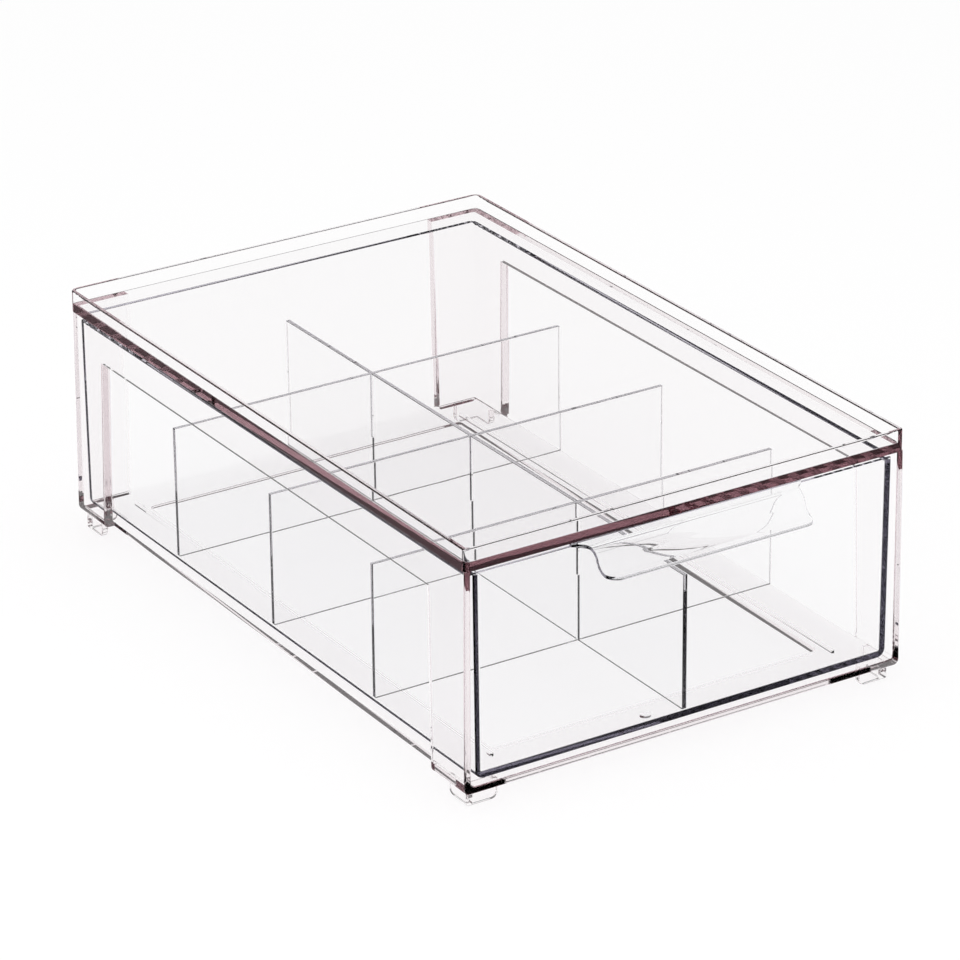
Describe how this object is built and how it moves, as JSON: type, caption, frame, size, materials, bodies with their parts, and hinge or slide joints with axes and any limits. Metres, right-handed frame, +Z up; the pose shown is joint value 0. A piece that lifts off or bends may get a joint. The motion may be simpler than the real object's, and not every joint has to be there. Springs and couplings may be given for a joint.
{
  "type": "tea bag drawer box",
  "caption": "Low clear plastic box with a pull-out drawer split into equal compartments by lift-out dividers; a rim on top takes the feet of a box stacked on it.",
  "frame": {"origin": "on the table, under the middle of the box's overall length and width, pull included", "axes": "+Z up, +X to the right seen from the front, the drawer pulls out along -Y"},
  "size_m": [0.2098, 0.3374, 0.1121],
  "materials": {
    "clear_casing": "clear, polished",
    "clear_tray": "clear, polished",
    "clear_feet": "clear, polished",
    "clear_drawer": "clear, polished",
    "clear_divider": "clear, polished"
  },
  "bodies": {
    "casing": {"casing_body": "clear_casing", "top_tray": "clear_tray", "foot_front_left": "clear_feet", "foot_front_right": "clear_feet", "foot_rear_left": "clear_feet", "foot_rear_right": "clear_feet"},
    "drawer": {"drawer_tub": "clear_drawer"},
    "divider_grid": {"divider_long": "clear_divider", "divider_cross_front": "clear_divider", "divider_cross_middle": "clear_divider", "divider_cross_rear": "clear_divider"}
  },
  "joints": [
    {"name": "drawer_slide", "type": "slide", "parent": "casing", "child": "drawer", "axis": [0, -1, 0], "range_m": [0, 0.24]},
    {"name": "divider_lift", "type": "slide", "parent": "drawer", "child": "divider_grid", "axis": [0, 0, 1], "range_m": [0, 0.028]}
  ]
}
